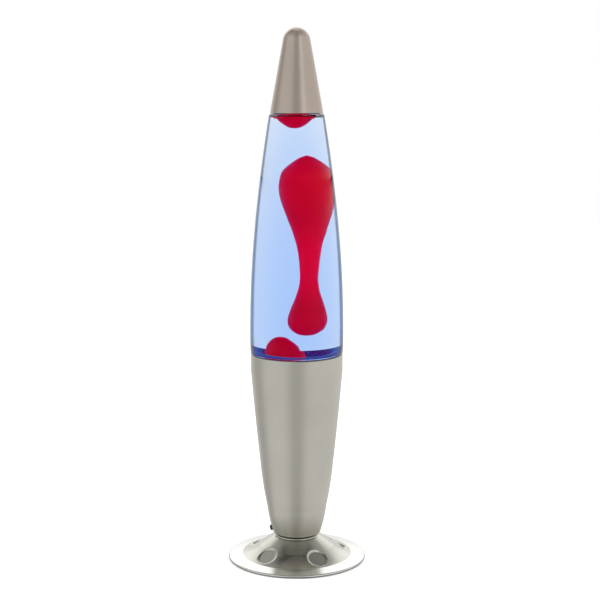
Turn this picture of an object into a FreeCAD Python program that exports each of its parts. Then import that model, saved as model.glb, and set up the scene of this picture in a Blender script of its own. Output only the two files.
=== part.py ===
import FreeCAD, Part
import math
import os
import Sketcher

# Motion lamp: a spun metal foot and tulip base, a sealed glass globe that stands in the base's mouth,
# and a spun metal cap over the globe's neck. A small reflector bulb in the base warms the globe.
# Millimetres. The origin is the middle of the face that the lamp stands on, and +Z is the lamp's axis.

DIMENSIONS = [
    # Foot dish
    ("foot_radius", 53.5, "outer edge of the foot"),
    ("foot_hem", 1.1, "half the thickness of the folded edge"),
    ("foot_hem_low", 0.2, "underside of the folded edge above the table"),
    ("foot_hem_width", 3.6, "how far the fold reaches inwards"),
    ("fold_rise", 1.485, "metal inside the fold above the fold's underside"),
    ("foot_crease_radius", 42.6, "crease between the flat ring and the trumpet"),
    ("foot_crease_height", 3.5, "top of the crease"),
    ("crease_wall", 1.05, "height of the metal at the crease"),
    ("crease_inset", 0.3, "crease of the underside, inwards of the one on top"),
    ("trumpet_curve", 38.0, "radius of the trumpet's concave arc"),
    ("trumpet_end_radius", 29.5, "where the trumpet's arc ends"),
    ("trumpet_end_height", 10.4, "height of that end"),
    ("neck_radius", 16.7, "flat deck of the foot"),
    ("neck_round", 1.1, "rounded edge of the deck"),
    ("deck_height", 19.3, "top of the deck"),
    ("metal_wall", 1.0, "spun metal"),
    ("dimple_count", 5, "round dimples in the trumpet"),
    ("dimple_radius", 7.7, "one dimple"),
    ("dimple_circle", 33.1, "radius of the circle of dimples"),
    ("dimple_depth", 1.0, "floor of a dimple below the trumpet"),
    ("dimple_turn", 28.6, "degrees from the front to the first dimple"),
    # Foot pad
    ("pad_outer", 49.4, "outer edge of the foam pad ring"),
    ("pad_inner", 46.6, "inner edge of the foam pad ring"),
    ("pad_glue", 0.02, "glue between the pad and the foot"),
    # Base cone
    ("washer_height", 1.2, "fibre washer between foot and base"),
    ("washer_radius", 16.0, "outer edge of that washer"),
    ("base_bottom_radius", 18.8, "base just above its rounded bottom edge"),
    ("base_edge_round", 1.0, "rounded bottom edge"),
    ("base_low_radius", 23.4, "end of the first arc"),
    ("base_low_height", 42.6, "height of that end"),
    ("base_mid_radius", 28.44, "end of the second arc"),
    ("base_mid_height", 76.5, "height of that end"),
    ("base_high_radius", 35.3, "end of the third arc"),
    ("base_high_height", 147.6, "height of that end"),
    ("base_low_curve", 111.0, "radius of the first arc"),
    ("base_mid_curve", 292.0, "radius of the second arc"),
    ("base_high_curve", 2900.0, "radius of the third arc"),
    ("mouth_radius", 35.5, "outside of the base's mouth"),
    ("mouth_height", 162.6, "top of the base's rim"),
    ("mouth_band", 12.6, "straight band below the rim"),
    ("rim_round", 0.55, "rounded rim"),
    # Threaded nipple, nuts and washer
    ("nipple_radius", 5.0, "M10 x 1 tube"),
    ("nipple_bore", 3.9, "its bore radius"),
    ("nipple_bottom", 13.0, "lower end"),
    ("nipple_length", 17.6, "its length"),
    ("thread_gap", 0.15, "free play of a screwed joint"),
    ("nut_flats", 14.0, "width across flats"),
    ("nut_height", 3.0, "nut"),
    ("nut_bevel", 0.7, "bevel of the nut's corners"),
    ("lock_washer_height", 0.6, "toothed washer"),
    ("lock_washer_radius", 8.6, "toothed washer"),
    # Cord gland
    ("gland_height", 23.1, "where the gland's axis meets the base's wall"),
    ("gland_tilt", 17.0, "degrees by which the gland points downwards"),
    ("gland_turn", 92.0, "degrees from the front round to the left"),
    ("gland_bore", 1.3, "radius of its bore"),
    ("gland_shank", 1.8, "radius of the shank in the wall"),
    ("gland_flange", 2.2, "radius of the outer flange"),
    ("gland_snap", 2.05, "radius of the inner snap flange"),
    ("gland_nose", 1.8, "outer flange thickness"),
    ("gland_snap_width", 0.8, "inner flange thickness"),
    ("gland_mouth", 1.5, "radius of the tapered inner mouth"),
    ("gland_taper_end", 0.3, "where the taper meets the bore, outside the wall"),
    ("gland_gap", 0.15, "play between the gland and the wall"),
    ("gland_hole_play", 0.1, "play between the shank and its hole"),
    # Lampholder
    ("holder_radius", 13.0, "outside of the lampholder"),
    ("holder_wall", 2.0, "moulded wall"),
    ("holder_bottom", 24.8, "underside of the lampholder"),
    ("holder_bottom_radius", 9.8, "underside radius"),
    ("holder_cone", 4.6, "height of the tapered underside"),
    ("holder_entry", 5.6, "thickness of the threaded entry"),
    ("holder_split", 44.0, "joint between the lampholder's base and sleeve"),
    ("holder_top", 70.0, "top of the sleeve"),
    ("holder_mouth", 9.2, "radius of the sleeve's mouth"),
    ("holder_lip", 1.6, "thickness of the lip round the mouth"),
    ("core_bottom", 38.0, "underside of the ceramic core"),
    ("core_floor", 48.0, "floor of the core's well"),
    ("core_top", 66.0, "top of the core"),
    ("core_well", 8.1, "radius of the core's well"),
    ("core_bore", 2.2, "radius of the wire hole in the core"),
    ("socket_radius", 7.9, "outside of the E14 socket shell"),
    ("socket_wall", 0.45, "socket shell"),
    ("socket_top", 67.6, "top of the socket shell"),
    ("socket_hole", 4.6, "radius of the hole in its floor"),
    ("tongue_width", 3.0, "contact tongue"),
    ("tongue_sheet", 0.4, "contact tongue's thickness"),
    ("tongue_rise", 2.0, "height of the tongue's crest above the well's floor"),
    ("tongue_reach", 3.8, "half length of the tongue"),
    ("screw_spacing", 7.0, "terminal screws, from the axis"),
    ("screw_head_radius", 2.3, "head"),
    ("screw_head_height", 1.8, "head"),
    ("screw_radius", 1.4, "shank"),
    ("screw_length", 6.0, "shank"),
    ("screw_slot", 0.7, "width of the driver slot"),
    # Reflector bulb, 39 mm, E14
    ("bulb_bottom", 50.6, "tip of the bulb's contact"),
    ("bulb_contact_radius", 2.4, "contact"),
    ("bulb_contact_height", 1.0, "contact"),
    ("insulator_height", 3.2, "black glass insulator"),
    ("insulator_radius", 5.9, "its widest part"),
    ("screw_cap_radius", 6.95, "E14 screw cap"),
    ("screw_cap_wall", 0.35, "screw cap"),
    ("screw_cap_height", 16.2, "screw cap"),
    ("bulb_neck", 6.3, "glass inside the screw cap"),
    ("bulb_glass_wall", 0.7, "bulb glass"),
    ("bulb_radius", 19.5, "widest part"),
    ("bulb_flare", 78.0, "height at which the neck has opened out"),
    ("bulb_flare_radius", 10.0, "radius there"),
    ("bulb_top", 117.5, "top of the bulb"),
    ("bulb_crown_curve", 20.5, "radius of the domed front"),
    ("bulb_side_curve", 60.0, "radius of the reflector's side"),
    ("stem_foot", 60.0, "bottom of the glass stem"),
    ("stem_top", 86.0, "top of the glass stem"),
    ("stem_radius", 1.9, "glass stem"),
    ("lead_spread", 5.0, "half distance between the filament's ends"),
    ("lead_radius", 0.25, "lead wire"),
    ("filament_height", 96.0, "filament"),
    ("filament_radius", 0.45, "coiled filament"),
    # Glass globe
    ("glass_wall", 2.2, "globe wall"),
    ("globe_floor", 152.5, "underside of the globe"),
    ("globe_floor_wall", 2.5, "glass floor"),
    ("globe_punt", 1.2, "push-up of the floor's middle"),
    ("heel_radius", 33.4, "part of the globe inside the base"),
    ("heel_curve", 8.0, "rounded heel"),
    ("heel_thin", 0.4, "how much thinner the wall is above the heel"),
    ("seat_height", 163.0, "step that stands over the base's rim"),
    ("seat_round", 1.3, "rounded edge of the step"),
    ("globe_low_radius", 36.0, "widest part"),
    ("globe_low_height", 170.0, "its height"),
    ("globe_mid_radius", 31.53, "end of the lower arc"),
    ("globe_mid_height", 266.5, "height of that end"),
    ("globe_top_radius", 21.06, "end of the upper arc"),
    ("globe_top_height", 344.4, "height of that end"),
    ("globe_low_curve", 905.0, "radius of the lower arc"),
    ("globe_high_curve", 1268.0, "radius of the upper arc"),
    ("shoulder_round", 1.35, "rounded edge of the shoulder"),
    ("shoulder_width", 1.2, "how far that edge reaches inwards"),
    ("shoulder_height", 345.7, "flat ledge under the cap"),
    ("ledge_radius", 17.6, "inner edge of the ledge"),
    ("ledge_curve", 7.0, "hollow arc from the ledge to the neck"),
    ("inner_shoulder_drop", 2.4, "end of the inner wall below that of the outer wall"),
    ("inner_shoulder_shift", 0.4, "that end outwards, because the wall tapers"),
    ("roof_radius", 18.0, "inside, where the roof under the ledge begins"),
    ("roof_height", 343.6, "its height there"),
    ("roof_round", 2.2, "rounded inner shoulder"),
    ("throat_curve", 9.0, "hollow arc of the inside from the roof to the neck's bore"),
    ("throat_top", 352.5, "where the bore is straight"),
    ("finish_radius", 13.1, "neck of the globe"),
    ("finish_low", 351.5, "where the neck is straight"),
    ("finish_top", 360.3, "top of the neck"),
    ("finish_bore", 10.2, "bore of the neck"),
    ("finish_bead", 0.5, "bead that the crown cap grips"),
    # Crown cap and liner
    ("liner_height", 0.6, "sealing liner"),
    ("crown_sheet", 0.3, "crown cap sheet"),
    ("crown_skirt", 5.9, "height of the crown cap's skirt"),
    ("crown_flare", 15.9, "radius of the skirt's edge"),
    ("crown_flutes", 21, "flutes round the skirt"),
    ("flute_radius", 1.1, "one flute"),
    # Liquid, wax and wire coil
    ("fill_height", 353.5, "surface of the liquid"),
    ("liquid_gap", 0.15, "liquid to glass"),
    ("wax_gap", 0.3, "liquid to wax"),
    ("coil_circle", 23.5, "radius of the ring that the wire coil lies in"),
    ("coil_height", 159.5, "middle of the wire coil"),
    ("coil_radius", 4.2, "outside of the wire coil"),
    ("coil_wall", 0.3, "wall that gives the coil's ring the weight of its wire"),
    ("wax_top_offset", -1.2, "sideways place of the wax under the shoulder"),
    ("wax_drop_offset", 6.6, "sideways place of the long wax drop"),
    ("wax_mound_offset", -8.2, "sideways place of the wax mound"),
    # Cap
    ("cap_edge_radius", 20.12, "lower edge of the cap"),
    ("cap_edge_height", 346.0, "its height"),
    ("cap_edge_round", 0.4, "rounded lower edge"),
    ("cap_dome", 10.3, "radius of the rounded tip"),
    ("cap_dome_radius", 10.14, "radius of the cap there"),
    ("lamp_height", 410.0, "whole lamp"),
]

SHEET = "Sizes"


class Size:
    """A length that carries both its value and the spreadsheet expression it comes from."""

    def __init__(self, value, text):
        self.value = float(value)
        self.text = text

    def __add__(self, other):
        other = as_size(other)
        return Size(self.value + other.value, f"({self.text} + {other.text})")

    def __sub__(self, other):
        other = as_size(other)
        return Size(self.value - other.value, f"({self.text} - {other.text})")

    def __mul__(self, factor):
        factor = as_size(factor)
        return Size(self.value * factor.value, f"({self.text} * {factor.text})")


def as_size(term):
    """Turns a plain number into a Size, so that the two can be mixed."""
    return term if isinstance(term, Size) else Size(term, repr(float(term)))


class Sizes:
    """The spreadsheet's cells as attributes, each one a Size."""

    def __init__(self, doc):
        sheet = doc.addObject("Spreadsheet::Sheet", SHEET)
        for row, (alias, value, note) in enumerate(DIMENSIONS, start=1):
            sheet.set(f"A{row}", note)
            sheet.set(f"B{row}", str(value))
            sheet.setAlias(f"B{row}", alias)
            setattr(self, alias, Size(value, f"{SHEET}.{alias}"))
        doc.recompute()


def bind(target, name, size):
    """Ties a property of an object to the sheet."""
    target.setExpression(name, as_size(size).text)


def plane(body, role):
    """An origin plane or axis of the body, found by its role."""
    return next(item for item in body.Origin.OriginFeatures if item.Role == role)


def new_body(doc, label):
    body = doc.addObject("PartDesign::Body", label)
    body.Label = label
    return body


def new_sketch(body, name, role="XZ_Plane"):
    sketch = body.newObject("Sketcher::SketchObject", name)
    sketch.AttachmentSupport = [(plane(body, role), "")]
    sketch.MapMode = "FlatFace"
    return sketch


def line(across, up):
    """A straight step of an outline, to the given corner."""
    return (across, up, None, 0)


def arc(across, up, curve, side):
    """A round step. side is 1 with its centre on the left of the way, -1 with it on the right."""
    return (across, up, curve, side)


def ball_depth(ball, across):
    """How far the middle of a ball lies from the level at which it is 'across' in radius."""
    ball = as_size(ball)
    across = as_size(across)
    under_root = ball * ball - across * across
    return Size(math.sqrt(under_root.value), f"sqrt({under_root.text})")


def dome_height(top, ball, across):
    """Level at which a dome with its crown at 'top' is 'across' in radius."""
    return as_size(top) - ball + ball_depth(ball, across)


def bowl_height(bottom, ball, across):
    """Level at which a bowl with its lowest point at 'bottom' is 'across' in radius."""
    return as_size(bottom) + ball - ball_depth(ball, across)


def vector(point):
    return FreeCAD.Vector(point[0].value, point[1].value, 0)


def arc_geometry(start, end, curve, side):
    """The arc from start to end with its centre on the given side. Sketch arcs always run anticlockwise."""
    chord = end - start
    reach = chord.Length / 2
    left = FreeCAD.Vector(-chord.y, chord.x, 0).normalize()
    centre = (start + end) * 0.5 + left * (side * math.sqrt(curve ** 2 - reach ** 2))
    first, last = (start, end) if side > 0 else (end, start)
    angles = [math.atan2(point.y - centre.y, point.x - centre.x) for point in (first, last)]
    circle = Part.Circle(centre, FreeCAD.Vector(0, 0, 1), curve)
    return Part.ArcOfCircle(circle, angles[0], angles[1])


def pin_corner(sketch, edge, vertex, corner):
    """Fixes one corner of the outline at its place from the sheet."""
    for kind, size, axis in (("DistanceX", corner[0], -2), ("DistanceY", corner[1], -1)):
        if abs(size.value) < 1e-9:
            sketch.addConstraint(Sketcher.Constraint("PointOnObject", edge, vertex, axis))
            continue
        index = sketch.addConstraint(
            Sketcher.Constraint(kind, -1, 1, edge, vertex, size.value)
        )
        bind(sketch, f"Constraints[{index}]", size)


def draw_outline(sketch, steps):
    """Draws the closed outline whose corners are the steps; each step says how it is reached."""
    corners = [(as_size(step[0]), as_size(step[1])) for step in steps]
    for index, (curve, side) in enumerate(step[2:] for step in steps):
        start = vector(corners[index - 1])
        end = vector(corners[index])
        if curve is None:
            edge = sketch.addGeometry(Part.LineSegment(start, end), False)
        else:
            curve = as_size(curve)
            edge = sketch.addGeometry(arc_geometry(start, end, curve.value, side), False)
            radius = sketch.addConstraint(Sketcher.Constraint("Radius", edge, curve.value))
            bind(sketch, f"Constraints[{radius}]", curve)
        first, last = (2, 1) if side < 0 else (1, 2)
        pin_corner(sketch, edge, first, corners[index - 1])
        pin_corner(sketch, edge, last, corners[index])


def turned(doc, label, steps):
    """A body turned about Z from an outline in the XZ plane."""
    body = new_body(doc, label)
    sketch = new_sketch(body, f"{label}_outline")
    draw_outline(sketch, steps)
    turn = body.newObject("PartDesign::Revolution", f"{label}_turn")
    turn.Profile = sketch
    turn.ReferenceAxis = (sketch, ["V_Axis"])
    turn.Angle = 360
    return body


def tube_outline(inner, outer, low, high):
    """Outline of a plain ring or tube."""
    return [line(inner, low), line(outer, low), line(outer, high), line(inner, high)]


def trumpet_point(size, across):
    """Height and slope of the trumpet's concave arc at a given radius."""
    start = FreeCAD.Vector(size.foot_crease_radius.value, size.foot_crease_height.value, 0)
    end = FreeCAD.Vector(size.trumpet_end_radius.value, size.trumpet_end_height.value, 0)
    curve = size.trumpet_curve.value
    chord = end - start
    right = FreeCAD.Vector(chord.y, -chord.x, 0).normalize()
    centre = (start + end) * 0.5 + right * math.sqrt(curve ** 2 - (chord.Length / 2) ** 2)
    drop = math.sqrt(curve ** 2 - (centre.x - across) ** 2)
    return centre.y - drop, math.asin((centre.x - across) / curve)


def foot_dish(doc, size):
    """Spun dish: folded edge, flat ring, trumpet and flat deck, with pressed dimples in the trumpet."""
    wall = size.metal_wall
    hem = size.foot_hem
    hem_centre = size.foot_radius - hem
    hem_top = size.foot_hem_low + hem * 2
    hole = size.nipple_radius + size.thread_gap
    steps = [
        line(size.foot_radius - size.foot_hem_width, size.foot_hem_low),
        line(hem_centre, size.foot_hem_low),
        arc(size.foot_radius, size.foot_hem_low + hem, hem, 1),
        arc(hem_centre, hem_top, hem, 1),
        line(size.foot_crease_radius, size.foot_crease_height),
        arc(size.trumpet_end_radius, size.trumpet_end_height, size.trumpet_curve, -1),
        line(size.neck_radius + 0.6, size.deck_height - size.neck_round),
        arc(size.neck_radius - 0.5, size.deck_height, size.neck_round + 0.4, 1),
        line(hole, size.deck_height),
        line(hole, size.deck_height - wall),
        line(size.neck_radius - 0.7, size.deck_height - wall),
        line(size.trumpet_end_radius - wall * 0.6, size.trumpet_end_height - wall * 0.95),
        arc(
            size.foot_crease_radius - size.crease_inset,
            size.foot_crease_height - size.crease_wall,
            size.trumpet_curve + wall,
            1,
        ),
        line(size.foot_radius - size.foot_hem_width, size.foot_hem_low + size.fold_rise),
    ]
    body = turned(doc, "foot_dish", steps)
    doc.recompute()

    across = size.dimple_circle.value
    up, slope = trumpet_point(size, across)
    turn = math.radians(size.dimple_turn.value - 90)
    outward = FreeCAD.Vector(math.cos(turn), math.sin(turn), 0)
    normal = outward * math.sin(slope) + FreeCAD.Vector(0, 0, math.cos(slope))
    centre = outward * across + FreeCAD.Vector(0, 0, up)
    facing = FreeCAD.Rotation(FreeCAD.Vector(0, 0, 1), normal)
    depth = size.dimple_depth

    back = body.newObject("PartDesign::AdditiveCylinder", "dimple_back")
    bind(back, "Radius", size.dimple_radius + wall * 0.8)
    bind(back, "Height", wall * 1.4)
    back.Placement = FreeCAD.Placement(centre - normal * (depth.value + wall.value), facing)
    hollow = body.newObject("PartDesign::SubtractiveCylinder", "dimple_hollow")
    bind(hollow, "Radius", size.dimple_radius)
    bind(hollow, "Height", depth + wall * 3)
    hollow.Placement = FreeCAD.Placement(centre - normal * depth.value, facing)
    doc.recompute()
    pattern = body.newObject("PartDesign::PolarPattern", "dimple_pattern")
    pattern.Originals = [back, hollow]
    pattern.Axis = (plane(body, "Z_Axis"), [""])
    pattern.Angle = 360
    bind(pattern, "Occurrences", size.dimple_count)
    body.Tip = pattern
    return body


def ring_underside(size, across):
    """Height of the straight underside of the foot's ring at a given radius."""
    fold = size.foot_radius - size.foot_hem_width
    low = size.foot_hem_low + size.fold_rise
    rise = size.foot_crease_height - size.crease_wall - low
    run = fold - size.foot_crease_radius + size.crease_inset
    return low + rise * ((fold - across).value / run.value)


def foot_pad(doc, size):
    """Foam ring stuck inside the folded edge, which the lamp stands on."""
    return turned(doc, "foot_pad", [
        line(size.pad_inner, 0),
        line(size.pad_outer, 0),
        line(size.pad_outer, ring_underside(size, size.pad_outer) - size.pad_glue),
        line(size.pad_inner, ring_underside(size, size.pad_inner) - size.pad_glue),
    ])


def base_side(size, inset):
    """The tulip's side, from the end of its first arc up to the straight band, moved inwards by inset."""
    return [
        arc(size.base_low_radius - inset, size.base_low_height, size.base_low_curve - inset, 1),
        arc(size.base_mid_radius - inset, size.base_mid_height, size.base_mid_curve - inset, 1),
        arc(size.base_high_radius - inset, size.base_high_height, size.base_high_curve - inset, 1),
        line(size.mouth_radius - inset, size.mouth_height - size.mouth_band),
    ]


def reverse(steps):
    """The same outline walked the other way."""
    turned_steps = []
    for index in range(len(steps) - 1, -1, -1):
        across, up = steps[index][:2]
        if index == len(steps) - 1:
            turned_steps.append(line(across, up))
            continue
        curve, side = steps[index + 1][2:]
        turned_steps.append((across, up, curve, -side))
    return turned_steps


def gland_placement(size, outwards):
    """Placement on the gland's axis, outwards from the wall's outer face by the given length."""
    turn = math.radians(-90 - size.gland_turn.value)
    tilt = math.radians(size.gland_tilt.value)
    outward = FreeCAD.Vector(math.cos(turn), math.sin(turn), 0)
    axis = outward * math.cos(tilt) - FreeCAD.Vector(0, 0, math.sin(tilt))
    across = base_radius_at(size, size.gland_height.value)
    foot = outward * across + FreeCAD.Vector(0, 0, size.gland_height.value)
    facing = FreeCAD.Rotation(FreeCAD.Vector(0, 0, 1), axis)
    return FreeCAD.Placement(foot + axis * outwards, facing)


def base_radius_at(size, up):
    """Outer radius of the base on its first arc."""
    start = FreeCAD.Vector(
        size.base_bottom_radius.value,
        size.deck_height.value + size.washer_height.value + size.base_edge_round.value,
        0,
    )
    end = FreeCAD.Vector(size.base_low_radius.value, size.base_low_height.value, 0)
    curve = size.base_low_curve.value
    chord = end - start
    left = FreeCAD.Vector(-chord.y, chord.x, 0).normalize()
    centre = (start + end) * 0.5 + left * math.sqrt(curve ** 2 - (chord.Length / 2) ** 2)
    return centre.x + math.sqrt(curve ** 2 - (up - centre.y) ** 2)


def base_cone(doc, size):
    """Spun tulip with a flat floor, a straight band at its mouth and the gland's hole low on its wall."""
    wall = size.metal_wall
    floor = size.deck_height + size.washer_height
    hole = size.nipple_radius + size.thread_gap
    rim = size.rim_round
    edge = size.base_edge_round
    inside = [line(size.base_bottom_radius - wall * 1.05, floor + wall)] + base_side(size, wall)
    steps = [
        line(hole, floor),
        line(size.base_bottom_radius - edge, floor),
        arc(size.base_bottom_radius, floor + edge, edge, 1),
    ] + base_side(size, Size(0, "0")) + [
        line(size.mouth_radius, size.mouth_height - rim),
        arc(size.mouth_radius - rim, size.mouth_height, rim, 1),
        line(size.mouth_radius - wall, size.mouth_height),
    ] + reverse(inside) + [line(hole, floor + wall)]
    body = turned(doc, "base_cone", steps)
    doc.recompute()
    before = body.Shape.Volume
    reach = wall * 2.5
    bore = body.newObject("PartDesign::SubtractiveCylinder", "gland_hole")
    bind(bore, "Radius", size.gland_shank + size.gland_hole_play)
    bind(bore, "Height", reach * 2)
    bore.Placement = gland_placement(size, -reach.value)
    doc.recompute()
    if body.Shape.Volume >= before:
        raise RuntimeError("the gland's hole misses the wall")
    return body


def cord_gland(doc, size):
    """Snap-in gland: outer flange, shank and snap flange round a bore with a tapered inner mouth."""
    nose = size.gland_nose
    gap = size.gland_gap
    neck = size.metal_wall + gap * 2
    back = neck + size.gland_snap_width - gap
    round_nose = nose * 0.5
    body = turned(doc, "cord_gland", [
        line(size.gland_mouth, back * -1),
        line(size.gland_snap, back * -1),
        line(size.gland_snap, (neck - gap) * -1),
        line(size.gland_shank, (neck - gap) * -1),
        line(size.gland_shank, gap),
        line(size.gland_flange, gap),
        line(size.gland_flange, nose - round_nose),
        arc(size.gland_flange - round_nose, nose, round_nose, 1),
        line(size.gland_bore, nose),
        line(size.gland_bore, size.gland_taper_end),
    ])
    body.Placement = gland_placement(size, 0)
    return body


def hex_nut(doc, size, name, low):
    """Hexagon nut with bevelled corners, standing on the given height."""
    bevel = size.nut_bevel
    high = low + size.nut_height
    corner = size.nut_flats * (0.5 / math.cos(math.pi / 6))
    blank = turned(doc, f"{name}_blank", [
        line(size.nipple_radius + size.thread_gap, low),
        line(corner - bevel, low),
        line(corner, low + bevel * 0.6),
        line(corner, high - bevel * 0.6),
        line(corner - bevel, high),
        line(size.nipple_radius + size.thread_gap, high),
    ])
    prism = doc.addObject("Part::Prism", f"{name}_prism")
    prism.Polygon = 6
    bind(prism, "Circumradius", corner)
    bind(prism, "Height", size.nut_height)
    bind(prism, "Placement.Base.z", low)
    nut = doc.addObject("Part::Common", name)
    nut.Base = blank
    nut.Tool = prism
    return nut


def nipple_nuts(doc, size):
    """The two nuts that clamp foot and base together, one under the deck and one on the base's floor."""
    low = size.deck_height - size.metal_wall - size.lock_washer_height - size.nut_height
    high = size.deck_height + size.washer_height + size.metal_wall
    group = doc.addObject("Part::Compound", "nipple_nuts")
    group.Links = [hex_nut(doc, size, "nut_below", low), hex_nut(doc, size, "nut_above", high)]
    return group


def clamp_stack(doc, size):
    """Toothed washer, fibre washer and threaded nipple."""
    hole = size.nipple_radius + size.thread_gap
    washer_top = size.deck_height - size.metal_wall
    bottom = size.nipple_bottom
    return [
        turned(doc, "lock_washer", tube_outline(
            hole, size.lock_washer_radius, washer_top - size.lock_washer_height, washer_top
        )),
        turned(doc, "neck_washer", tube_outline(
            hole, size.washer_radius, size.deck_height, size.deck_height + size.washer_height
        )),
        turned(doc, "mounting_nipple", tube_outline(
            size.nipple_bore, size.nipple_radius, bottom, bottom + size.nipple_length
        )),
    ]


def lampholder(doc, size):
    """Moulded base, ceramic core, outer sleeve and the two live parts of an E14 lampholder."""
    bottom = size.holder_bottom
    inner = size.holder_radius - size.holder_wall
    entry = size.nipple_radius + size.thread_gap
    entry_top = bottom + size.holder_entry
    base = turned(doc, "lampholder_base", [
        line(entry, bottom),
        line(size.holder_bottom_radius, bottom),
        line(size.holder_radius, bottom + size.holder_cone),
        line(size.holder_radius, size.holder_split),
        line(inner, size.holder_split),
        line(inner, entry_top),
        line(entry, entry_top),
    ])
    core = turned(doc, "lampholder_core", [
        line(size.core_bore, size.core_bottom),
        line(inner - 0.2, size.core_bottom),
        line(inner - 0.2, size.core_top),
        line(size.core_well, size.core_top),
        line(size.core_well, size.core_floor),
        line(size.core_bore, size.core_floor),
    ])
    core_holes = terminal_holes(doc, size, core)
    sleeve = turned(doc, "lampholder_sleeve", [
        line(inner, size.holder_split),
        line(size.holder_radius, size.holder_split),
        line(size.holder_radius, size.holder_top - 1),
        arc(size.holder_radius - 1, size.holder_top, 1, 1),
        line(size.holder_mouth, size.holder_top),
        line(size.holder_mouth, size.holder_top - size.holder_lip),
        line(inner, size.holder_top - size.holder_lip),
    ])
    shell_inner = size.socket_radius - size.socket_wall
    floor = size.core_floor + 0.05
    shell = turned(doc, "lampholder_shell", [
        line(size.socket_hole, floor),
        line(size.socket_radius, floor),
        line(size.socket_radius, size.socket_top),
        line(shell_inner, size.socket_top),
        line(shell_inner, floor + size.socket_wall),
        line(size.socket_hole, floor + size.socket_wall),
    ])
    return [base, core_holes, sleeve, shell, contact_tongue(doc, size)]


def terminal_holes(doc, size, core):
    """The core with its two screw holes, as pockets patterned about the lamp's axis."""
    doc.recompute()
    hole = core.newObject("PartDesign::SubtractiveCylinder", "screw_hole")
    bind(hole, "Radius", size.screw_radius + 0.1)
    bind(hole, "Height", size.screw_length + 0.4)
    hole.Placement = FreeCAD.Placement(
        FreeCAD.Vector(size.screw_spacing.value, 0, size.core_bottom.value), FreeCAD.Rotation()
    )
    doc.recompute()
    pattern = core.newObject("PartDesign::PolarPattern", "screw_hole_pattern")
    pattern.Originals = [hole]
    pattern.Axis = (plane(core, "Z_Axis"), [""])
    pattern.Angle = 360
    pattern.Occurrences = 2
    core.Tip = pattern
    return core


def contact_tongue(doc, size):
    """Bent spring tongue under the bulb's contact."""
    sheet = size.tongue_sheet
    low = size.core_floor + 0.05
    crest = low + size.tongue_rise
    reach = size.tongue_reach
    body = new_body(doc, "lampholder_contact")
    sketch = new_sketch(body, "tongue_outline")
    draw_outline(sketch, [
        line(reach * -1, low),
        line(reach * -0.15, low),
        line(reach * 0.65, crest),
        line(reach, crest - sheet),
        line(reach, crest),
        line(reach * 0.65, crest + sheet),
        line(reach * -0.2, low + sheet),
        line(reach * -1, low + sheet),
    ])
    pad = body.newObject("PartDesign::Pad", "tongue_pad")
    pad.Profile = sketch
    pad.Midplane = True
    bind(pad, "Length", size.tongue_width)
    return body


def terminal_screw(doc, size, name, across):
    """One slotted screw, head down, in the core's underside."""
    head_low = size.core_bottom - size.screw_head_height
    screw = turned(doc, f"{name}_blank", [
        line(0, head_low),
        line(size.screw_head_radius - 0.4, head_low),
        arc(size.screw_head_radius, head_low + 0.4, 0.4, 1),
        line(size.screw_head_radius, size.core_bottom),
        line(size.screw_radius, size.core_bottom),
        line(size.screw_radius, size.core_bottom + size.screw_length),
        line(0, size.core_bottom + size.screw_length),
    ])
    bind(screw, "Placement.Base.x", across)
    slot = doc.addObject("Part::Box", f"{name}_slot")
    bind(slot, "Length", size.screw_slot)
    bind(slot, "Width", size.screw_head_radius * 2.2)
    bind(slot, "Height", size.screw_head_height * 0.5)
    bind(slot, "Placement.Base.x", across - size.screw_slot * 0.5)
    bind(slot, "Placement.Base.y", size.screw_head_radius * -1.1)
    bind(slot, "Placement.Base.z", head_low)
    cut = doc.addObject("Part::Cut", name)
    cut.Base = screw
    cut.Tool = slot
    return cut


def terminal_screws(doc, size):
    group = doc.addObject("Part::Compound", "terminal_screws")
    group.Links = [
        terminal_screw(doc, size, "screw_left", size.screw_spacing * -1),
        terminal_screw(doc, size, "screw_right", size.screw_spacing),
    ]
    return group


def bulb(doc, size):
    """Reflector bulb: contact, insulator, screw cap, glass, stem and filament."""
    bottom = size.bulb_bottom
    contact_top = bottom + size.bulb_contact_height
    cap_low = contact_top + size.insulator_height * 0.8
    cap_high = cap_low + size.screw_cap_height
    cap_inner = size.screw_cap_radius - size.screw_cap_wall
    insulator_top = contact_top + size.insulator_height + 0.6
    contact = turned(doc, "bulb_contact", [
        line(0, bottom),
        line(size.bulb_contact_radius * 0.5, bottom),
        arc(size.bulb_contact_radius, contact_top, size.bulb_contact_radius * 0.8, 1),
        line(0, contact_top),
    ])
    insulator = turned(doc, "bulb_insulator", [
        line(0, contact_top),
        line(size.bulb_contact_radius + 1.4, contact_top),
        line(size.insulator_radius - 0.7, cap_low),
        line(size.insulator_radius - 0.7, insulator_top),
        line(0, insulator_top),
    ])
    screw_cap = turned(doc, "bulb_screw_cap", [
        line(size.insulator_radius - 0.7, cap_low),
        line(size.screw_cap_radius - 0.8, cap_low),
        line(size.screw_cap_radius, cap_low + 1.2),
        line(size.screw_cap_radius, cap_high),
        line(cap_inner, cap_high),
        line(cap_inner, cap_low + 1.4),
        line(size.insulator_radius - 0.7, cap_low + 0.5),
    ])
    return [contact, insulator, screw_cap, bulb_glass(doc, size, cap_high), bulb_stem(doc, size)]


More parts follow.
